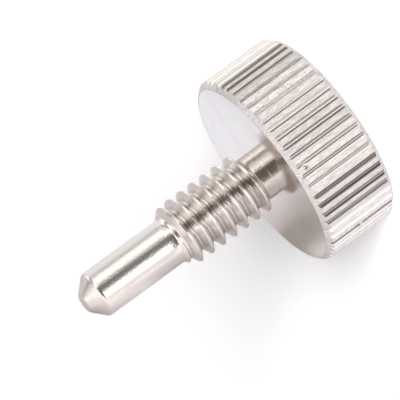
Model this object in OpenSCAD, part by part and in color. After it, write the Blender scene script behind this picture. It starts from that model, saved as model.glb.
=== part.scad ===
// Thumb screw: a round head with a straight knurl, a short relief neck, a coarse right-hand
// thread and a plain dog point that ends in a blunt chamfered tip. Turned from one bar.
// It stands on the flat top of its head, so +Z runs along the axis from head to tip.

/* [Head] */
// Diameter of the head over the lands of the knurl
head_d = 19.05; // [17:0.05:22]
// Thickness of the head
head_h = 7.55; // [6:0.05:10]
// Chamfer round the underside, the side that seats
seat_chamfer = 0.5; // [0.3:0.05:0.8]
// Chamfer round the top
top_chamfer = 0.5; // [0.3:0.05:0.8]

/* [Knurl] */
// Number of straight grooves round the head
knurl_n = 58; // [50:1:66]
// Width of a groove at its mouth
knurl_mouth = 0.62; // [0.4:0.02:0.7]
// Width of the flat floor of a groove
knurl_floor = 0.06; // [0.04:0.02:0.2]
// Depth of a groove below the lands
knurl_depth = 0.29; // [0.16:0.01:0.34]
// Angle of the first groove round the axis
knurl_turn = 0.6; // [0:0.1:7]

/* [Neck] */
// Diameter of the plain relief neck under the head
neck_d = 4.56; // [4.2:0.02:4.6]
// Length of the neck, from the seat to where the first crest starts to rise
neck_l = 0.91; // [0.7:0.01:1.5]
// Radius of the fillet between the neck and the seat
neck_fillet = 0.25; // [0.1:0.05:0.4]

/* [Thread] */
// Diameter over the crests
thread_d = 6.2; // [6:0.05:6.8]
// Distance from crest to crest, one start, right-hand
thread_pitch = 1.27; // [1.2:0.01:1.5]
// Depth of the groove, crest to root
thread_depth = 0.775; // [0.7:0.005:0.85]
// Width of the flat along the crest
crest_w = 0.16; // [0.1:0.01:0.24]
// Angle between the flanks of the groove
flank_angle = 60; // [55:1:60]
// Angle over which the first crest rises from the neck to its full height
thread_rise = 160; // [90:5:300]
// Distance from the seat to where the thread ends and the dog point starts
thread_end = 10.32; // [9:0.02:13]
// Angle that the thread is turned about the axis
thread_turn = 218; // [0:1:359]

/* [Point] */
// Diameter of the plain dog point
dog_d = 4.4; // [4:0.05:4.6]
// Distance from the seat to the blunt tip
stud_l = 19.85; // [17:0.05:24]
// Diameter of the flat on the tip
tip_d = 1.8; // [1:0.05:2.4]
// Angle of the tip's chamfer, from the axis
tip_angle = 45; // [35:1:55]

/* [Hidden] */

head_r = head_d / 2;
neck_r = neck_d / 2;
crest_r = thread_d / 2;
root_r = crest_r - thread_depth;
dog_r = dog_d / 2;
tip_r = tip_d / 2;

// Heights of the shoulders, from the top of the head at z = 0
seat_z = head_h;
neck_z = seat_z + neck_l;
thread_z = seat_z + thread_end;
tip_z = seat_z + stud_l;
dog_z = tip_z - (dog_r - tip_r) / tan(tip_angle);

// The bar inside the thread, and how far the neck and the point run on into the thread
core_r = min(root_r, neck_r, dog_r) - 0.15;
neck_lap = 0.7 * thread_pitch;
dog_lap = 0.2;
fillet_steps = 6;

// One pitch of the thread, as offsets from the middle of a crest
flank_w = thread_depth * tan(flank_angle / 2);
ROUND_STEPS = 48;
PITCH_POINTS = [
    -crest_w / 2,
    crest_w / 2,
    crest_w / 2 + flank_w / 2,
    crest_w / 2 + flank_w,
    thread_pitch - crest_w / 2 - flank_w,
    thread_pitch - crest_w / 2 - flank_w / 2
];
POINTS_PER_PITCH = len(PITCH_POINTS);

// The threaded body is sunk to this radius past both of its ends, inside the solid bar
sunk_r = core_r - 0.3;

// Outline of the turned bar, from the axis at the head's top to the axis at the tip
function bar_outline() = concat(
    [
        [0, 0],
        [head_r - top_chamfer, 0],
        [head_r, top_chamfer],
        [head_r, seat_z - seat_chamfer],
        [head_r - seat_chamfer, seat_z]
    ],
    [
        for (i = [0:fillet_steps])
            let (a = 90 * i / fillet_steps)
            [
                neck_r + neck_fillet * (1 - sin(a)),
                seat_z + neck_fillet * (1 - cos(a))
            ]
    ],
    [
        [neck_r, neck_z + neck_lap],
        [core_r, neck_z + neck_lap + neck_r - core_r],
        [core_r, thread_z - dog_lap - (dog_r - core_r)],
        [dog_r, thread_z - dog_lap],
        [dog_r, dog_z],
        [tip_r, tip_z],
        [0, tip_z]
    ]
);

// Cross-section that leaves the lands of the knurl standing between its grooves. The
// flanks run on past the lands, so the lands keep the round form of the turned head.
knurl_slope = (knurl_mouth - knurl_floor) / 2 / knurl_depth;
knurl_over = 0.5;
function knurl_point(i, half_w, r) =
    let (a = knurl_turn + 360 * i / knurl_n)
    [r * cos(a) - half_w * sin(a), r * sin(a) + half_w * cos(a)];
function knurl_outline() = [
    for (i = [0:knurl_n - 1])
        for (side = [-1, 1])
            let (outer = [knurl_mouth / 2 + knurl_over * knurl_slope, head_r + knurl_over])
            let (inner = [knurl_floor / 2, head_r - knurl_depth])
            for (p = side < 0 ? [outer, inner] : [inner, outer])
                knurl_point(i, side * p[0], p[1])
];

// Radius of the thread at a distance from the middle of the nearest crest
function groove_r(off) =
    let (d = min(off, thread_pitch - off) - crest_w / 2)
    max(root_r, crest_r - max(0, d) / tan(flank_angle / 2));

// Height of a crest that is still rising out of the neck, at a distance along the axis
rise_l = thread_pitch * thread_rise / 360;
function rising_r(crest_z) = neck_r + (crest_r - neck_r) * (crest_z - neck_z) / rise_l;

// Radius of the threaded body: its first crest rises out of the neck along the helix, and
// its last one is cut back by a 45 degree cone above the dog point
function thread_r(off, z, crest_z) =
    max(sunk_r, min(groove_r(off), rising_r(crest_z), dog_r + thread_z - z));

// The columns of the threaded body start and end a whole pitch inside the solid bar
first_turn = floor((neck_l - rise_l) / thread_pitch) - 1;
last_turn = ceil((thread_end + dog_r - sunk_r) / thread_pitch + 0.15);
columns = (last_turn - first_turn) * POINTS_PER_PITCH;

// A point of the threaded body: column j climbs one pitch as i goes once round
function thread_point(i, j) =
    let (a = 360 * i / ROUND_STEPS)
    let (off = PITCH_POINTS[j % POINTS_PER_PITCH])
    let (turn = first_turn + floor(j / POINTS_PER_PITCH) + a / 360)
    let (nearest = off < thread_pitch / 2 ? turn : turn + 1)
    let (z = seat_z + thread_pitch * turn + off)
    let (r = thread_r(abs(off), z, seat_z + thread_pitch * nearest))
    [r * cos(a - thread_turn), r * sin(a - thread_turn), z];

// Once round, a column has become the column one pitch further along
function thread_index(i, j) =
    i < ROUND_STEPS ? i * (columns + 1) + j : j + POINTS_PER_PITCH;

function fan(loop, apex) = [
    for (k = [0:len(loop) - 1])
        [loop[k], loop[(k + 1) % len(loop)], apex]
];

module thread_body() {
    last = columns - POINTS_PER_PITCH;
    low = ROUND_STEPS * (columns + 1);
    high = low + 1;
    points = concat(
        [for (i = [0:ROUND_STEPS - 1]) for (j = [0:columns]) thread_point(i, j)],
        [
            [0, 0, seat_z + thread_pitch * first_turn],
            [0, 0, seat_z + thread_pitch * last_turn]
        ]
    );
    flanks = [
        for (i = [0:ROUND_STEPS - 1])
            for (j = [0:(i == ROUND_STEPS - 1 ? last : columns) - 1])
                let (a = thread_index(i, j))
                let (b = thread_index(i, j + 1))
                let (c = thread_index(i + 1, j + 1))
                let (d = thread_index(i + 1, j))
                for (face = [[a, b, c], [a, c, d]])
                    face
    ];
    low_loop = concat(
        [for (i = [0:ROUND_STEPS - 1]) thread_index(i, 0)],
        [for (j = [POINTS_PER_PITCH:-1:1]) thread_index(0, j)]
    );
    high_loop = concat(
        [for (i = [ROUND_STEPS - 1:-1:0]) thread_index(i, columns)],
        [for (j = [last:columns - 1]) thread_index(ROUND_STEPS - 1, j)]
    );
    polyhedron(points = points, faces = concat(flanks, fan(low_loop, low), fan(high_loop, high)));
}

module thumb_screw() {
    color("silver") union() {
        intersection() {
            rotate_extrude($fn = 96) polygon(bar_outline());
            translate([0, 0, -1]) linear_extrude(tip_z + 2) polygon(knurl_outline());
        }
        thread_body();
    }
}

thumb_screw();
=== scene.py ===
"""Looks of the thumb screw: one turned, knurled and nickel-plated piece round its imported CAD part.

Lengths are in millimetres here, and MM turns them into metres where they go to Blender.
"""

import math

import bpy
import numpy as np
from mathutils import Matrix, Vector


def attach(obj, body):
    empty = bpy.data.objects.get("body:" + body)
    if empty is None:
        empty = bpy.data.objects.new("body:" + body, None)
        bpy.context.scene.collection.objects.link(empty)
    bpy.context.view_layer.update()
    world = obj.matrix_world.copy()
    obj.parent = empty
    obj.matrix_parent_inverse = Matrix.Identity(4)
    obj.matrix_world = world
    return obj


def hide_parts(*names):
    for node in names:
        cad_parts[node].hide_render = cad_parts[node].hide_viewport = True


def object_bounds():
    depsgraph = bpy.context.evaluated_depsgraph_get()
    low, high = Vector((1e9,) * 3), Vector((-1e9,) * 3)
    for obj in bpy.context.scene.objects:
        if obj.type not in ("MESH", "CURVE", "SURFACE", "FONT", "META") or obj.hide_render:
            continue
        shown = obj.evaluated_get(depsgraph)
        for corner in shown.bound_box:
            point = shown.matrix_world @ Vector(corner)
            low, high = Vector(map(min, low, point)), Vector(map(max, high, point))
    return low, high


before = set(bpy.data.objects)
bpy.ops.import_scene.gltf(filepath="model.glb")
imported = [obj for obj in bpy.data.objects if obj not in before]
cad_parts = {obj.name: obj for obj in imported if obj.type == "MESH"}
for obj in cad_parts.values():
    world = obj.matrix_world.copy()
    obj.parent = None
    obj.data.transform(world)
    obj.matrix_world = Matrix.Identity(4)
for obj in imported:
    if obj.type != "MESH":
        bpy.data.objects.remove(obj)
cad_low, cad_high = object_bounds()

MM = 0.001
rng = np.random.default_rng(20)

# ---------------------------------------------------------------- sizes
HEAD_R = (cad_high.x - cad_low.x) / 2 / MM
TIP_Z = cad_high.z / MM
SEAT_Z = 7.55
SEAT_CHAMFER = 0.5
TOP_CHAMFER = 0.5
EDGE_ROUND = 0.05

KNURL_N = 58
KNURL_STEP = 360 / KNURL_N
KNURL_TURN = 0.6
KNURL_MOUTH = 0.62
KNURL_FLOOR = 0.06
KNURL_DEPTH = 0.29
KNURL_ROUND = 0.02
KNURL_HOLLOW = 0.05
LAND_CROWN = 0.012

NECK_R = 2.28
NECK_Z = SEAT_Z + 0.91
NECK_FILLET = 0.04

CREST_R = 3.1
ROOT_R = CREST_R - 0.775
PITCH = 1.27
CREST_W = 0.16
FLANK_TAN = math.tan(math.radians(30))
THREAD_Z = SEAT_Z + 10.32
THREAD_TURN = 218
THREAD_RISE = PITCH * 160 / 360
THREAD_ROUND = 0.045
ROOT_ROUND = 0.16
# Heights between which the root sinks from the neck to its full depth
ROOT_FROM, ROOT_FULL = NECK_Z - 0.5, NECK_Z + 0.7
# Heights at which the painted shade in the root starts, is full, is full still, and ends
ROOT_SHADE_HEIGHTS = (NECK_Z, NECK_Z + 0.5, THREAD_Z - 0.7, THREAD_Z - 0.3)

DOG_R = 2.2
TIP_R = 0.9
TIP_EDGE_ROUND = 0.45
TIP_FLAT_ROUND = 0.2

# ---------------------------------------------------------------- rows and columns of the mesh
# They lie close together at edges. The head's columns are in degrees from a groove's middle, and
# the stem has one column for every few of them.
GROOVE_COLUMNS = np.array([0.0, 0.1, 0.22, 0.45, 1.1, 1.68, 1.84, 2.0, 2.5])
STEM_SHARE = 4
# Rows from a chamfer's inner edge, evenly over the wall from a margin at each of its ends, and from
# the middles of the burr and the dent
CHAMFER_ROWS = np.array([0.06, 0.17, 0.25, 0.3, 0.35, 0.4, 0.44])
WALL_ROWS, WALL_MARGIN = 4, 0.08
BURR_ROWS = (-0.17, -0.11, 0.0, 0.11, 0.17)
DENT_ROWS = (-0.5, -0.36, -0.24, -0.12, 0.0, 0.12, 0.24, 0.36)
# The radius of the top face's inner ring, and the widths of the flat rings inside the chamfers and
# round the neck. Inside PLAIN_R the head's rings are circles, without a trace of the knurl.
TOP_RING_R = 1.0
LIP = 0.1
SEAT_RING = 0.6
PLAIN_R = HEAD_R - KNURL_DEPTH - 0.08
# Rows from a crest's middle down its flank
FLANK_ROWS = (0.045, 0.075, 0.1, 0.18, 0.31, 0.43, 0.49, 0.56)
# The thread lies between two level rings. Its points snap to them from this near.
THREAD_LOW, THREAD_HIGH = SEAT_Z + 0.2, THREAD_Z + 0.03
SNAP = 1e-3
NECK_ROWS = 3
FILLET_STEPS = 8
# The dog's rows end this far below its edge, and the tip's flat has an inner ring
DOG_ROWS, DOG_END = 8, 1
TIP_STEPS = 8
TIP_RING_R = 0.5

# The materials, in the mesh's order
WALL, SEAT, STEM = 0, 1, 2


# ---------------------------------------------------------------- shapes
def lower_of(a, b, blend):
    """The smaller of two radii, with the corner between them rounded."""
    h = np.clip(0.5 + 0.5 * (b - a) / blend, 0, 1)
    return b + (a - b) * h - blend * h * (1 - h)


def upper_of(a, b, blend):
    """The larger of two radii, with the corner between them rounded."""
    return -lower_of(-a, -b, blend)


def rounded(points, radii, steps=2):
    """A profile whose inner points are rounded with these radii. With 0 a point stays as it is."""
    out = [np.array(points[0], float)]
    for before, corner, after, radius in zip(points, points[1:], points[2:], radii):
        b, c, a = (np.array(p, float) for p in (before, corner, after))
        if radius == 0:
            out.append(c)
            continue
        to_b, to_a = (b - c) / np.linalg.norm(b - c), (a - c) / np.linalg.norm(a - c)
        half = math.acos(float(to_b @ to_a)) / 2
        reach = radius / math.tan(half)
        start, end = c + to_b * reach, c + to_a * reach
        for t in np.linspace(0, 1, steps + 1):
            out.append((1 - t) ** 2 * start + 2 * t * (1 - t) * c + t**2 * end)
    out.append(np.array(points[-1], float))
    return out


class Shell:
    """Vertices and faces of one closed surface, made ring by ring."""

    def __init__(self):
        self.points = []
        self.faces = []
        self.kinds = []
        self.marks = {"sunk": {}, "groove_shade": {}, "dull_and_shade": {}, "worn": {}}

    def point(self, angle, radius, height, sunk=0.0):
        """Adds one point and returns its number."""
        number = len(self.points)
        self.marks["sunk"][number] = sunk
        self.points.append((radius * math.cos(angle), radius * math.sin(angle), height))
        return number

    def ring(self, angles, radii, height, **marks):
        """Adds a level ring of points, with what is marked on them, and returns their numbers."""
        first = len(self.points)
        for name, values in marks.items():
            self.marks[name].update(enumerate(values, first))
        heights = np.broadcast_to(height, angles.shape)
        self.points += list(zip(radii * np.cos(angles), radii * np.sin(angles), heights))
        return list(range(first, first + len(angles)))

    def face(self, corners, kind):
        self.faces.append(corners)
        self.kinds.append(kind)

    def band(self, low, high, kind, flip=False):
        """Joins two rings of the same count, or one to a ring of a few times fewer points."""
        n = len(high)
        step = len(low) // n
        for i in range(n):
            span = [low[(i * step + k) % len(low)] for k in range(step + 1)]
            side = [high[(i + 1) % n], high[i]]
            self.face(span[::-1] + side[::-1] if flip else span + side, kind)

    def fan(self, ring, apex, kind):
        """Joins a ring to one point."""
        for i in range(len(ring)):
            self.face([ring[i], ring[(i + 1) % len(ring)], apex], kind)

    def turned(self, ring, angles, profile, kind):
        """Goes on from a ring along a profile of (radius, height), and returns the last ring."""
        for radius, z in profile:
            following = self.ring(angles, radius, z)
            self.band(ring, following, kind)
            ring = following
        return ring


# The knurl: every groove has its own slightly different depth, width and place. Some are set one by
# one: their shift along the rim, and their width as a share of the plain one. The depth follows the
# width, but for one groove that is only wide.
DEPTH_SPREAD, WIDTH_SPREAD, SHIFT_SPREAD = 0.15, 0.08, 0.02
SHIFTED = {33: -0.25, 36: -0.06, 37: -0.13, 38: -0.09, 39: -0.13, 51: 0.13, 52: 0.06, 54: -0.42}
PUSHED_FIRST, PUSHED_LAST, PUSHED_BY = 40, 43, 0.07
WIDENED = {36: 1.1, 37: 1.08, 38: 1.1, 39: 1.06, 52: 1.14, 53: 1.12}
ONLY_WIDE, ONLY_WIDE_SHARE = 33, 1.3
SHALLOW, SHALLOW_SHARE = [34, 35, 48, 54], 0.75
groove_depth = KNURL_DEPTH * (1 - DEPTH_SPREAD * rng.random(KNURL_N) ** 2)
groove_width = 1 - WIDTH_SPREAD * rng.random(KNURL_N)
groove_shift = SHIFT_SPREAD * rng.standard_normal(KNURL_N)
for groove, shift in SHIFTED.items():
    groove_shift[groove] = shift
groove_shift[PUSHED_FIRST : PUSHED_LAST + 1] += PUSHED_BY
for groove, width in WIDENED.items():
    groove_width[groove] = width
    groove_depth[groove] = KNURL_DEPTH * width
groove_width[ONLY_WIDE] = ONLY_WIDE_SHARE
groove_depth[SHALLOW] *= SHALLOW_SHARE

# How far each land stands back, how much painted shade darkens each groove and how much each land is
# darkened, with what is set for stretches of them: (first, last, amount). The grooves of the far
# half get more painted shade, and one stretch, between two angles with soft ends, is worn bare.
DROP_SPREAD, DULL_SPREAD = 0.004, 0.06
GROOVE_SHADE_LEAST, GROOVE_SHADE_SPREAD = 0.1, 0.3
# Painted shade set groove by groove, and grooves left without it
SHADED_GROOVES = ((33, 33, 1.4), (36, 36, 1.1), (37, 39, 1.0), (51, 52, 0.7), (53, 53, 1.0))
UNSHADED_GROOVES = ((34, 35), (54, 57))
FAR_GROOVES, FAR_GROOVE_SHADE = 30, 0.5
SHADED_LANDS = ((35, 38, 0.16), (39, 47, 0.15), (50, 53, 0.24))
WORN_FROM, WORN_TO, WORN_EDGE = 296, 314, 5
land_drop = DROP_SPREAD * rng.random(KNURL_N)
groove_shade = GROOVE_SHADE_LEAST + GROOVE_SHADE_SPREAD * rng.random(KNURL_N)
for first, last, amount in SHADED_GROOVES:
    groove_shade[first : last + 1] = amount
for first, last in UNSHADED_GROOVES:
    groove_shade[first : last + 1] = 0
groove_shade[:FAR_GROOVES] += FAR_GROOVE_SHADE
land_dull_and_shade = DULL_SPREAD * rng.random(KNURL_N)
# Painted shade on set stretches of lands, over their random dullness
for first, last, amount in SHADED_LANDS:
    land_dull_and_shade[first : last + 1] += amount

# Damage, each at an angle in degrees and a height: a dent in a land, a burr across a groove
DENT_AT, DENT_Z, DENT_DEPTH = 259.4, 6.55, 0.13
DENT_HALF_ANGLE, DENT_HALF_HEIGHT = 1.7, 0.24
BURR_AT, BURR_Z, BURR_DROP = 203.6, 3.97, 0.04
BURR_HALF_ANGLE, BURR_HALF_HEIGHT = 1.9, 0.12

# The thread's crests are worn a little unevenly along the helix
CREST_WEAR = 0.035
WEAR_STEPS = 36
WEAR_TURNS = 10
crest_wear = CREST_WEAR * rng.random(WEAR_TURNS * WEAR_STEPS) ** 2

groove_columns = np.concatenate([-GROOVE_COLUMNS[:0:-1], GROOVE_COLUMNS, [KNURL_STEP / 2]])
groove_middles = [KNURL_TURN + KNURL_STEP * k for k in range(KNURL_N)]
head_angles = np.radians(np.concatenate([middle + groove_columns for middle in groove_middles]))
stem_angles = head_angles[::STEM_SHARE]


def knurl_place(angles):
    """The place along the knurl, counted in grooves, with the nearest groove and the land."""
    place = (np.degrees(angles) - KNURL_TURN) / KNURL_STEP
    groove = np.rint(place).astype(int) % KNURL_N
    land = np.floor(place).astype(int) % KNURL_N
    return place, groove, land


def knurl_radius(angles):
    """Radius of the knurled wall at these angles, before its ends are chamfered."""
    place, groove, land = knurl_place(angles)
    across = np.radians((place - np.rint(place)) * KNURL_STEP) * HEAD_R
    across = np.abs(across - groove_shift[groove])
    depth = groove_depth[groove]
    slope = (KNURL_MOUTH - KNURL_FLOOR) / 2 / KNURL_DEPTH
    half_floor = KNURL_MOUTH / 2 * groove_width[groove] - slope * depth
    flank = HEAD_R - depth + (across - half_floor) / slope
    surface = lower_of(flank, np.full_like(flank, HEAD_R), KNURL_ROUND)
    surface = upper_of(surface, HEAD_R - depth, KNURL_HOLLOW)
    from_land = np.abs(place - np.floor(place) - 0.5) * 2
    return np.minimum(surface, HEAD_R - land_drop[land] - LAND_CROWN * from_land**2)


def damaged(radii, angles, z):
    """The wall's radii at a height, with the dent and the burr."""
    degrees = np.degrees(angles) % 360
    beside = (degrees - DENT_AT) / DENT_HALF_ANGLE
    above = (z - DENT_Z) / DENT_HALF_HEIGHT
    radii = radii - DENT_DEPTH * np.exp(-(beside**2) - above**2)
    on_burr = (np.abs(degrees - BURR_AT) < BURR_HALF_ANGLE) & (abs(z - BURR_Z) < BURR_HALF_HEIGHT)
    return np.where(on_burr, np.maximum(radii, HEAD_R - BURR_DROP), radii)


def groove_marks(angles):
    """How much painted shade each groove gets, how much each land is darkened, and how worn the
    knurl is at these angles.
    """
    _, groove, land = knurl_place(angles)
    degrees = np.degrees(angles) % 360
    inside = np.minimum(degrees - WORN_FROM, WORN_TO - degrees)
    worn = np.clip(inside / WORN_EDGE + 0.5, 0, 1)
    return {"groove_shade": groove_shade[groove], "dull_and_shade": land_dull_and_shade[land], "worn": worn}


def head_profile():
    """The head's outline from its top face to its seat."""
    top_r, seat_r = HEAD_R - TOP_CHAMFER, HEAD_R - SEAT_CHAMFER
    wall_low, wall_high = TOP_CHAMFER, SEAT_Z - SEAT_CHAMFER
    heights = [
        *np.linspace(wall_low + WALL_MARGIN, wall_high - WALL_MARGIN, WALL_ROWS),
        *(BURR_Z + t for t in BURR_ROWS),
        *(DENT_Z + t for t in DENT_ROWS),
    ]
    # Every edge, with the rows between it and the next
    edges = (
        ((top_r, 0), [(top_r + t, t) for t in CHAMFER_ROWS]),
        ((HEAD_R, wall_low), [(HEAD_R, z) for z in sorted(heights)]),
        ((HEAD_R, wall_high), [(seat_r + t, SEAT_Z - t) for t in CHAMFER_ROWS[::-1]]),
        ((seat_r, SEAT_Z), [(seat_r - LIP, SEAT_Z)]),
    )
    points = [(top_r - LIP, 0)]
    radii = []
    for edge, rows in edges:
        points += [edge, *rows]
        radii += [EDGE_ROUND] + [0] * len(rows)
    return rounded(points, radii)


def thread_radius(from_crest, z):
    """Radius of the thread, which rises out of the neck and ends in a cone."""
    off = (from_crest + PITCH / 2) % PITCH - PITCH / 2
    rising = NECK_R + (CREST_R - NECK_R) * (z - off - NECK_Z) / THREAD_RISE
    turn = (z - SEAT_Z - off) / PITCH
    crest = CREST_R - np.interp(turn * WEAR_STEPS, np.arange(len(crest_wear)), crest_wear)
    root = np.interp(z, (ROOT_FROM, ROOT_FULL), (NECK_R - THREAD_ROUND, ROOT_R))
    off = np.abs(off) - CREST_W / 2
    groove = lower_of(CREST_R - off / FLANK_TAN, crest, THREAD_ROUND)
    groove = upper_of(groove, root, ROOT_ROUND)
    ended = np.minimum(rising, DOG_R + THREAD_Z - z)
    bar = np.where(z < THREAD_Z - PITCH, NECK_R, DOG_R)
    return upper_of(lower_of(groove, ended, THREAD_ROUND), bar, THREAD_ROUND)


def thread_sunk(radius, z):
    """How deep in the thread a point lies: 0 on a crest, 1 in the root, and 0 past its ends."""
    inside = np.interp(z, ROOT_SHADE_HEIGHTS, (0, 1, 1, 0))
    return inside * np.clip((CREST_R - radius) / (CREST_R - ROOT_R), 0, 1)


def add_thread(shell, low_ring):
    """The thread, up from the ring at THREAD_LOW. Its rows climb one pitch in each turn."""
    n = len(stem_angles)
    rows = [0.0, *FLANK_ROWS, PITCH / 2, *(PITCH - t for t in FLANK_ROWS[::-1])]
    per_pitch = len(rows)
    rise = PITCH * (np.degrees(stem_angles) + THREAD_TURN) / 360
    first = math.floor((THREAD_LOW - SEAT_Z - rise.max()) / PITCH) - 1
    last = math.ceil((THREAD_HIGH - SEAT_Z - rise.min()) / PITCH) + 1
    count = (last - first) * per_pitch + 1
    high_ring = shell.ring(stem_angles, DOG_R, THREAD_HIGH)
    number = np.empty((n, count + per_pitch), int)
    for j in range(count + per_pitch):
        offset = rows[j % per_pitch]
        z = SEAT_Z + rise + PITCH * (first + j // per_pitch) + offset
        radius = thread_radius(np.full_like(z, offset), z)
        sunk = thread_sunk(radius, z)
        for i, angle in enumerate(stem_angles):
            if z[i] <= THREAD_LOW + SNAP:
                number[i, j] = low_ring[i]
            elif z[i] >= THREAD_HIGH - SNAP:
                number[i, j] = high_ring[i]
            else:
                number[i, j] = shell.point(angle, radius[i], z[i], sunk[i])
    for i in range(n):
        # Once round, a row has become the row one pitch further up
        following, climb = (i + 1, 0) if i < n - 1 else (0, per_pitch)
        for j in range(count - 1):
            corners = [
                number[i, j],
                number[following, j + climb],
                number[following, j + climb + 1],
                number[i, j + 1],
            ]
            face = [int(c) for k, c in enumerate(corners) if c != corners[k - 1]]
            if len(set(face)) >= 3:
                shell.face(face, STEM)
    return high_ring


def add_head(shell):
    """The head, from the middle of its top face to the lip of its seat."""
    wall_radius = knurl_radius(head_angles)
    marks = groove_marks(head_angles)
    rings = []
    for radius, z in head_profile():
        radii = np.full_like(wall_radius, radius)
        if radius >= PLAIN_R:
            radii = lower_of(radii, wall_radius, KNURL_ROUND)
        if radius == HEAD_R:
            radii = damaged(radii, head_angles, z)
        sunk = np.clip((radius - radii) / KNURL_DEPTH, 0, 1)
        rings.append(shell.ring(head_angles, radii, z, sunk=sunk, **marks))
    centre = shell.point(0.0, 0.0, 0.0)
    inner = shell.ring(stem_angles, TOP_RING_R, 0.0)
    shell.fan(inner[::-1], centre, SEAT)
    shell.band(rings[0], inner, SEAT, flip=True)
    for low, high in zip(rings, rings[1:]):
        shell.band(low, high, WALL)
    return rings[-1]


def add_neck(shell, ring):
    """The seat inside its lip, the fillet and the neck, up to the ring at THREAD_LOW."""
    turns = [math.pi / 2 * step / FILLET_STEPS for step in range(FILLET_STEPS + 1)]
    fillet = [
        (NECK_R + NECK_FILLET * (1 - math.sin(a)), SEAT_Z + NECK_FILLET * (1 - math.cos(a)))
        for a in turns
    ]
    heights = np.linspace(SEAT_Z + NECK_FILLET, THREAD_LOW, NECK_ROWS)
    seat = [(NECK_R + NECK_FILLET + SEAT_RING, SEAT_Z), fillet[0]]
    neck = fillet[1:] + [(NECK_R, z) for z in heights[1:]]
    ring = shell.turned(ring, stem_angles, seat, SEAT)
    return shell.turned(ring, stem_angles, neck, STEM)


def add_dog_point(shell, ring):
    """The dog point and its chamfered tip, up from the ring at THREAD_HIGH."""
    edge = TIP_Z - (DOG_R - TIP_R)
    tip = rounded(
        [(DOG_R, edge - DOG_END), (DOG_R, edge), (TIP_R, TIP_Z), (TIP_RING_R, TIP_Z)],
        [TIP_EDGE_ROUND, TIP_FLAT_ROUND],
        TIP_STEPS,
    )
    dog = [(DOG_R, z) for z in np.linspace(THREAD_Z, edge - DOG_END, DOG_ROWS)[1:]]
    ring = shell.turned(ring, stem_angles, dog + tip[1:], STEM)
    shell.fan(ring, shell.point(0.0, 0.0, TIP_Z), STEM)


shell = Shell()
ring = add_head(shell)
ring = add_neck(shell, ring)
ring = add_thread(shell, ring)
add_dog_point(shell, ring)

mesh = bpy.data.meshes.new("thumb_screw_turned")
mesh.from_pydata([tuple(c * MM for c in p) for p in shell.points], [], shell.faces)
mesh.polygons.foreach_set("material_index", shell.kinds)
mesh.polygons.foreach_set("use_smooth", [True] * len(mesh.polygons))
for name, marks in shell.marks.items():
    values = [float(marks.get(i, 0.0)) for i in range(len(shell.points))]
    mesh.attributes.new(name, "FLOAT", "POINT").data.foreach_set("value", values)
mesh.validate()
mesh.update()
screw = bpy.data.objects.new("thumb_screw_turned", mesh)
bpy.context.scene.collection.objects.link(screw)


# ---------------------------------------------------------------- shader nodes
class Nodes:
    """Short ways to add and join shader nodes."""

    def __init__(self, tree):
        self.tree = tree
        tree.nodes.clear()

    def add(self, kind, inputs=None, **settings):
        node = self.tree.nodes.new(kind)
        for name, value in settings.items():
            setattr(node, name, value)
        for name, value in (inputs or {}).items():
            self.put(node, name, value)
        return node

    def put(self, node, name, value):
        """Links a socket to an input, or sets the input's own value."""
        if isinstance(value, bpy.types.NodeSocket):
            self.tree.links.new(value, node.inputs[name])
        else:
            node.inputs[name].default_value = value

    def attribute(self, name):
        return self.add("ShaderNodeAttribute", attribute_name=name).outputs["Fac"]

    def combined(self, x, y, z):
        return self.add("ShaderNodeCombineXYZ", {0: x, 1: y, 2: z}).outputs[0]

    def separated(self, vector):
        return self.add("ShaderNodeSeparateXYZ", {0: vector}).outputs

    def millimetres(self, place):
        """A place in metres, turned into millimetres."""
        inputs = {0: place, "Scale": 1 / MM}
        return self.add("ShaderNodeVectorMath", inputs, operation="SCALE").outputs[0]

    def math(self, operation, a, b=None, c=None, clamp=False):
        node = self.add("ShaderNodeMath", operation=operation, use_clamp=clamp)
        for i, value in enumerate(v for v in (a, b, c) if v is not None):
            self.put(node, i, value)
        return node.outputs[0]

    def product(self, first, *others):
        for other in others:
            first = self.math("MULTIPLY", first, other)
        return first

    def between(self, amount, low, high, clamp=False):
        """Goes from low to high as the amount goes from 0 to 1."""
        return self.math("MULTIPLY_ADD", amount, high - low, low, clamp)

    def stretch(self, vector, x, y, z):
        """A vector with its parts multiplied by x, y and z."""
        node = self.add("ShaderNodeVectorMath", {0: vector}, operation="MULTIPLY")
        node.inputs[1].default_value = (x, y, z)
        return node.outputs[0]

    def noise(self, vector, scales, detail):
        """Noise that changes so many times per unit along x, y and z."""
        inputs = {"Vector": self.stretch(vector, *scales), "Scale": 1.0, "Detail": detail}
        return self.add("ShaderNodeTexNoise", inputs).outputs[0]

    def fade(self, value, start, end):
        """Goes smoothly from 0 to 1 as the value goes from start to end."""
        inputs = {"Value": value, "From Min": start, "From Max": end}
        return self.add("ShaderNodeMapRange", inputs, interpolation_type="SMOOTHSTEP").outputs[0]

    def blend(self, amount, first, second):
        """Mixes two colours, each a socket or (red, green, blue)."""
        node = self.add("ShaderNodeMix", {0: amount}, data_type="RGBA")
        for i, colour in ((6, first), (7, second)):
            self.put(node, i, (*colour, 1) if isinstance(colour, tuple) else colour)
        return node.outputs[2]

    def patch(self, under, colour, *fades):
        """Lays a colour over another where all of the fades (value, start, end) are at 1."""
        return self.blend(self.product(*(self.fade(*fade) for fade in fades)), under, colour)

    def ramp(self, value, bands):
        """A colour ramp over a full turn, from bands of (degrees, colour)."""
        node = self.add("ShaderNodeValToRGB", {0: value})
        stops = node.color_ramp.elements
        stops[0].position, stops[1].position = 0.0, 1.0
        while len(stops) < len(bands):
            stops.new(0.5)
        for stop, (degrees, colour) in zip(stops, bands):
            stop.position = degrees / 360 + 0.5
            stop.color = (*colour, 1)
        return node.outputs[0]


def start_material(name):
    """A new material, with its nodes and its output."""
    material = bpy.data.materials.new(name)
    material.use_nodes = True
    n = Nodes(material.node_tree)
    return material, n, n.add("ShaderNodeOutputMaterial")


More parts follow.
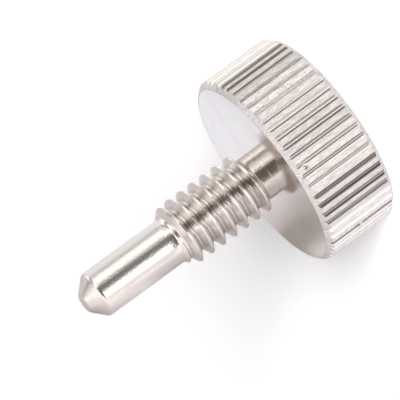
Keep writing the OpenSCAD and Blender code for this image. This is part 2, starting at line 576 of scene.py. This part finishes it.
# ---------------------------------------------------------------- nickel
PLATE = (0.745, 0.705, 0.675)
FROSTED = (0.80, 0.756, 0.740)
STEM_STAIN = (0.72, 0.655, 0.625)
SEAT_STAIN = (0.71, 0.65, 0.62)
# Painted shade for the thread's roots
ROOT_SHADE = (0.59, 0.55, 0.52)
# Painted shade for the knurl's grooves and the lands' set stretches, and the colour of the lands'
# specks and streaks
GROOVE_SHADE_AND_SPECKS = (0.27, 0.24, 0.225)


def start_nickel(name, settings):
    """A bright nickel material, with its shader and the object's own coordinates in millimetres."""
    material, n, out = start_material(name)
    shader = n.add("ShaderNodeBsdfPrincipled", {"Metallic": 1.0, **settings})
    n.put(out, "Surface", shader.outputs[0])
    return material, n, shader, n.millimetres(n.add("ShaderNodeTexCoord").outputs["Object"])


def finish_nickel(n, shader, colour, roughness, height, depth):
    """Joins colour, roughness and relief to the shader. A height of 1 stands out by the depth."""
    n.put(shader, "Base Color", colour)
    n.put(shader, "Roughness", roughness)
    bump = n.add("ShaderNodeBump", {"Strength": 1.0, "Distance": depth * MM, "Height": height})
    n.put(shader, "Normal", bump.outputs[0])


def stem_nickel():
    """Neck, thread and point: turned smooth, with a fine grain under the plate and painted shade in
    the roots.
    """
    material, n, shader, place = start_nickel("nickel_stem", {})
    grain = n.noise(place, (6.5, 6.5, 5.0), 3.0)
    lines = n.noise(place, (0.2, 0.2, 26.0), 2.0)
    cloud = n.noise(place, (0.6, 0.6, 0.4), 3.0)
    height = n.math("MULTIPLY_ADD", lines, 0.12, grain)
    colour = n.patch(PLATE, STEM_STAIN, (cloud, 0.5, 0.75))
    # Painted shade in the thread's roots, fading out at the thread's ends
    colour = n.patch(colour, ROOT_SHADE, (n.attribute("sunk"), 0.6, 0.98))
    roughness = n.between(n.fade(cloud, 0.4, 0.7), 0.07, 0.12)
    finish_nickel(n, shader, colour, roughness, height, depth=0.018)
    return material


def seat_nickel():
    """The flat faces: faced off in fine rings about the axis."""
    brushed = {"Anisotropic": 0.4, "Anisotropic Rotation": 0.25}
    material, n, shader, place = start_nickel("nickel_seat", brushed)
    tangent = n.add("ShaderNodeTangent", direction_type="RADIAL", axis="Z")
    n.put(shader, "Tangent", tangent.outputs[0])
    flat = n.add("ShaderNodeVectorMath", {0: n.stretch(place, 1, 1, 0)}, operation="LENGTH")
    rings = n.noise(n.combined(flat.outputs["Value"], 0, 0), (14.0, 0, 0), 3.0)
    grain = n.noise(place, (2.0, 2.0, 2.0), 3.0)
    cloud = n.noise(place, (0.35, 0.35, 0.35), 3.0)
    height = n.math("MULTIPLY_ADD", rings, 0.5, grain)
    colour = n.patch(PLATE, SEAT_STAIN, (cloud, 0.45, 0.75))
    roughness = n.between(n.fade(cloud, 0.35, 0.7), 0.1, 0.14)
    finish_nickel(n, shader, colour, roughness, height, depth=0.004)
    return material


def wall_nickel():
    """The knurled wall: pitted, scratched lands between smoother grooves, with painted shade in the
    grooves.
    """
    material, n, shader, place = start_nickel("nickel_wall", {})
    sunk, groove_shade, dull_and_shade, worn = (n.attribute(name) for name in ("sunk", "groove_shade", "dull_and_shade", "worn"))
    land = n.math("SUBTRACT", 1.0, n.fade(sunk, 0.04, 0.4))
    bare = n.math("MAXIMUM", land, worn)

    pits = n.noise(place, (5.5, 5.5, 1.8), 4.0)
    drag = n.noise(place, (9.0, 9.0, 0.6), 3.0)
    height = n.math("MULTIPLY_ADD", drag, 0.6, pits)
    height = n.product(height, n.math("MAXIMUM", n.between(land, 0.15, 1.0), worn))

    # Specks and streaks: the plate's own marks on the lands
    specks = n.fade(n.noise(place, (5.0, 5.0, 3.6), 4.0), 0.52, 0.66)
    streaks = n.fade(n.noise(place, (8.5, 8.5, 1.3), 4.0), 0.38, 0.62)
    on_land = n.product(specks, n.between(worn, 0.3, 0.55))
    on_land = n.math("MAXIMUM", on_land, n.product(streaks, 0.34))
    # The lands' random dullness and their painted shade are added to their marks
    on_land = n.product(n.math("ADD", on_land, dull_and_shade), bare)
    # Painted shade in the grooves, stronger deeper in them and weaker in the worn stretch
    in_groove = n.product(n.fade(sunk, 0.0, 0.75), groove_shade, n.between(worn, 1.0, 0.5))
    # The darker of the grooves' painted shade and the lands' marks
    shade_and_specks = n.math("MAXIMUM", in_groove, on_land, clamp=True)

    n.put(shader, "Metallic", n.between(land, 1.0, 0.5))
    colour = n.blend(shade_and_specks, FROSTED, GROOVE_SHADE_AND_SPECKS)
    finish_nickel(n, shader, colour, n.between(bare, 0.18, 0.48), height, depth=0.03)
    return material


for material in (wall_nickel(), seat_nickel(), stem_nickel()):
    mesh.materials.append(material)

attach(screw, "root")
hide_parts("thumb_screw")


# ---------------------------------------------------------------- floor
def plane(name, paper, size, location, normal=(0, 0, 1)):
    """A square of the stage that faces along the normal, with its paper's nodes and output."""
    half = size / 2 * MM
    data = bpy.data.meshes.new(name)
    corners = [(-half, -half, 0), (half, -half, 0), (half, half, 0), (-half, half, 0)]
    data.from_pydata(corners, [], [(0, 1, 2, 3)])
    obj = bpy.data.objects.new(name, data)
    bpy.context.scene.collection.objects.link(obj)
    obj.location = Vector(location) * MM
    obj.rotation_mode = "QUATERNION"
    obj.rotation_quaternion = Vector((0, 0, 1)).rotation_difference(Vector(normal))
    material, n, out = start_material(paper)
    data.materials.append(material)
    return obj, n, out


# The camera sees the floor's white paper twice, with a faint glow, so that it comes out white under
# the plain lamp and keeps the shadow. All other light meets a plain pale floor.
floor, n, out = plane("floor", "floor_paper", 3000, (0, 0, 0))
path = n.add("ShaderNodeLightPath")
lit = n.add("ShaderNodeBsdfDiffuse", {"Color": (0.8, 0.8, 0.8, 1)})
paper = n.add("ShaderNodeBsdfDiffuse", {"Color": (0.95, 0.94, 0.96, 1)})
glow = n.add("ShaderNodeEmission", {"Color": (1, 1, 1, 1), "Strength": 0.02})
white = n.add("ShaderNodeAddShader", {0: paper.outputs[0], 1: paper.outputs[0]})
white = n.add("ShaderNodeAddShader", {0: white.outputs[0], 1: glow.outputs[0]})
seen = n.add(
    "ShaderNodeMixShader",
    {0: path.outputs["Is Camera Ray"], 1: lit.outputs[0], 2: white.outputs[0]},
)
n.put(out, "Surface", seen.outputs[0])
floor.visible_glossy = False
floor.visible_shadow = False

# ---------------------------------------------------------------- cards, seen only in reflections
# The side card stands where the ground would be if the screw lay down, against the rim of the head
# and the tip. Its glow is a painted shadow: darker where the screw covers it, and darkest where the
# two touch.
CARD_TOUCH = (-7.02, 6.43, 7.05)
CARD_NORMAL = Vector((0.688, -0.630, -0.359)).normalized()
CARD_SHADOW = (0.38, 0.34, 0.32)
card, n, out = plane("side_card", "card_painted_shadow", 400, CARD_TOUCH, CARD_NORMAL)
open_side = n.add(
    "ShaderNodeAmbientOcclusion",
    {"Distance": 14 * MM, "Normal": n.combined(-0.02, 0.25, -0.97)},
    samples=16,
)
open_close = n.add("ShaderNodeAmbientOcclusion", {"Distance": 2.5 * MM}, samples=8)
lit = n.between(open_side.outputs["AO"], -0.9, 1.2, clamp=True)
lit = n.product(lit, n.between(open_close.outputs["AO"], 0.4, 1.0))

# Its open parts glow brighter or duller in painted patches of light and shade, bounded along the
# scene's own axes: low down on the camera's side, low down beyond the axis, far beyond it, and high
# up on both sides of the axis
place = n.millimetres(n.add("ShaderNodeNewGeometry").outputs["Position"])
x, y, z = n.separated(place)
tone = (1.12, 1.07, 1.10)
tone = n.patch(tone, (1.35, 1.45, 1.55), (y, 2, 0), (y, -6, -4), (z, 7, 4))
tone = n.patch(tone, (1.5, 1.48, 1.46), (y, 9, 7), (y, 1, 3), (z, 7, 4))
tone = n.patch(tone, (1.03, 1.05, 1.13), (y, 8, 18))
tone = n.patch(tone, (1.62, 1.54, 1.53), (y, -1, -8), (z, 12, 17))
tone = n.patch(tone, (0.78, 0.75, 0.76), (y, 1.2, 2.8), (z, 12, 17))
shade = n.blend(lit, CARD_SHADOW, tone)

# A painted contact shadow, a dark stripe near where it touches the head, and a stretch above the
# seat where the glow is set to a plain light grey, which is weaker towards the tip
from_stripe = n.math("ABSOLUTE", n.math("ADD", x, 6.1))
shade = n.patch(shade, (0.42, 0.39, 0.37), (from_stripe, 1.5, 0.2), (z, 12, 9.5))
above_seat = n.product(n.fade(x, -7, -9), n.fade(z, 7.7, 8.6))
above_seat = n.product(above_seat, n.between(n.fade(z, 10, 11.5), 1.0, 0.36))
shade = n.blend(above_seat, shade, (0.8, 0.75, 0.75))
n.put(out, "Surface", n.add("ShaderNodeEmission", {"Color": shade}).outputs[0])

# The corner card shows in the lands on the knurl's +X side
CORNER_NORMAL = (-0.5, -0.87, 0.0)
corner, n, out = plane("corner_card", "corner_paper", 20, (17.2, 8.5, -3.0), CORNER_NORMAL)
glow = n.add("ShaderNodeEmission", {"Color": (1.62, 1.66, 1.56, 1)})
n.put(out, "Surface", glow.outputs[0])

for board in (card, corner):
    for ray in ("camera", "diffuse", "transmission", "volume_scatter", "shadow"):
        setattr(board, "visible_" + ray, False)

# ---------------------------------------------------------------- camera
ELEVATION = math.radians(14.224)
ROLL = math.radians(-126.175)
DISTANCE = 526.03 * MM
AIM = Vector((1.3466, 0, 13.487)) * MM
back = Vector((0, -math.cos(ELEVATION), math.sin(ELEVATION)))
camera = bpy.data.objects.new("camera", bpy.data.cameras.new("camera"))
bpy.context.scene.collection.objects.link(camera)
camera.data.lens = 540
camera.data.sensor_width = 36
camera.data.clip_start = 10 * MM
camera.data.clip_end = 20000 * MM
camera.rotation_mode = "QUATERNION"
camera.location = AIM + back * DISTANCE
camera.rotation_quaternion = (
    Matrix.Rotation(math.pi / 2 - ELEVATION, 3, "X") @ Matrix.Rotation(ROLL, 3, "Z")
).to_quaternion()
bpy.context.scene.camera = camera

# ---------------------------------------------------------------- world
# The studio's soft bands, by degrees round the screw from the camera's side. The low ones are
# mirrored by upright walls, and the high ones by the seat and by what slopes up.
LOW_BANDS = [
    (-180, (0.90, 0.90, 0.92)),
    (-155, (0.92, 0.92, 0.94)),
    (-144, (1.06, 1.05, 1.05)),
    (-108, (1.06, 1.05, 1.05)),
    (-98, (0.98, 0.98, 0.97)),
    (-88, (0.73, 0.73, 0.72)),
    (-79, (0.68, 0.68, 0.66)),
    (-71, (1.15, 1.16, 1.13)),
    (-66, (1.50, 1.50, 1.46)),
    (-44, (1.50, 1.50, 1.46)),
    (-36, (1.10, 1.08, 1.05)),
    (-27, (0.62, 0.58, 0.56)),
    (-20, (0.28, 0.26, 0.245)),
    (-7, (0.26, 0.24, 0.23)),
    (1, (0.40, 0.39, 0.385)),
    (8, (0.80, 0.82, 0.84)),
    (15, (2.10, 2.12, 2.12)),
    (28, (2.10, 2.12, 2.12)),
    (36, (1.45, 1.45, 1.45)),
    (46, (1.04, 1.03, 1.04)),
    (62, (1.15, 1.14, 1.17)),
    (85, (1.04, 0.98, 1.01)),
    (105, (1.00, 0.94, 0.96)),
    (122, (0.90, 0.86, 0.88)),
    (142, (0.77, 0.73, 0.75)),
    (165, (0.89, 0.87, 0.89)),
    (180, (0.90, 0.90, 0.92)),
]
HIGH_BANDS = [
    (-180, (1.05, 1.08, 1.12)),
    (-155, (1.55, 1.53, 1.53)),
    (-138, (0.82, 0.79, 0.77)),
    (-122, (1.10, 1.08, 1.06)),
    (-112, (1.30, 1.28, 1.24)),
    (-100, (1.80, 1.78, 1.72)),
    (-90, (1.00, 0.96, 0.92)),
    (-81, (0.32, 0.285, 0.26)),
    (-74, (0.42, 0.38, 0.355)),
    (-60, (0.92, 0.88, 0.85)),
    (-48, (2.10, 2.06, 1.96)),
    (-36, (2.10, 2.06, 1.96)),
    (-26, (0.60, 0.56, 0.52)),
    (-20, (0.20, 0.175, 0.155)),
    (-2, (0.17, 0.145, 0.12)),
    (12, (0.17, 0.145, 0.12)),
    (26, (0.24, 0.215, 0.195)),
    (40, (0.57, 0.545, 0.53)),
    (58, (1.18, 1.13, 1.12)),
    (80, (1.26, 1.20, 1.19)),
    (100, (1.06, 1.01, 1.01)),
    (135, (0.66, 0.62, 0.61)),
    (160, (0.95, 0.96, 1.00)),
    (180, (1.05, 1.08, 1.12)),
]
OVERHEAD = (1.06, 1.03, 1.05)
# A gap in the bright box, so that the seat doesn't burn out when it is seen from behind
GAP = (1.12, 1.09, 1.09)
# A small dark flag overhead, which the tip's cone mirrors
FLAG = (0.45, 0.42, 0.40)
FLAG_WAY = (0.636, 0.207, 0.743)
FLAG_RADIUS = math.radians(16)
# The share of the world's light that falls on matt surfaces
DIFFUSE_SHARE = 0.25

world = bpy.data.worlds.new("studio")
bpy.context.scene.world = world
world.use_nodes = True
n = Nodes(world.node_tree)
out = n.add("ShaderNodeOutputWorld")
path = n.add("ShaderNodeLightPath")
way = n.add("ShaderNodeTexCoord").outputs["Generated"]
x, y, height = n.separated(way)
angle = n.math("ARCTAN2", n.product(x, -1.0), n.product(y, -1.0))
turn = n.math("MULTIPLY_ADD", angle, 0.5 / math.pi, 0.5)
studio = n.blend(n.fade(height, -0.12, 0.2), n.ramp(turn, LOW_BANDS), n.ramp(turn, HIGH_BANDS))
studio = n.patch(
    studio,
    GAP,
    (height, 0.15, 0.21),
    (height, 0.37, 0.31),
    (angle, math.radians(-75), math.radians(-62)),
    (angle, math.radians(-36), math.radians(-42)),
)
studio = n.patch(studio, OVERHEAD, (height, 0.7, 0.93))
dot = n.add("ShaderNodeVectorMath", {0: way}, operation="DOT_PRODUCT")
dot.inputs[1].default_value = FLAG_WAY
studio = n.patch(studio, FLAG, (dot.outputs["Value"], math.cos(FLAG_RADIUS), 1.0))
level = n.between(path.outputs["Is Diffuse Ray"], 1.0, DIFFUSE_SHARE)
around = n.add("ShaderNodeBackground", {"Color": studio, "Strength": level})
white = n.add("ShaderNodeBackground", {"Color": (1, 1, 1, 1), "Strength": 1.0})
mix = n.add(
    "ShaderNodeMixShader",
    {0: path.outputs["Is Camera Ray"], 1: around.outputs[0], 2: white.outputs[0]},
)
n.put(out, "Surface", mix.outputs[0])

# ---------------------------------------------------------------- lamp
# A soft sun on the camera's side, this many degrees above the floor and aside
LAMP_ELEVATION = 13
LAMP_SIDE = 5
lamp = bpy.data.objects.new("softbox", bpy.data.lights.new("softbox", "SUN"))
bpy.context.scene.collection.objects.link(lamp)
lamp.data.energy = 4.4
lamp.data.angle = math.radians(18)
lamp.rotation_euler = (math.radians(90 - LAMP_ELEVATION), 0, math.radians(LAMP_SIDE))
lamp.visible_glossy = False

bpy.context.scene.view_settings.view_transform = "Standard"
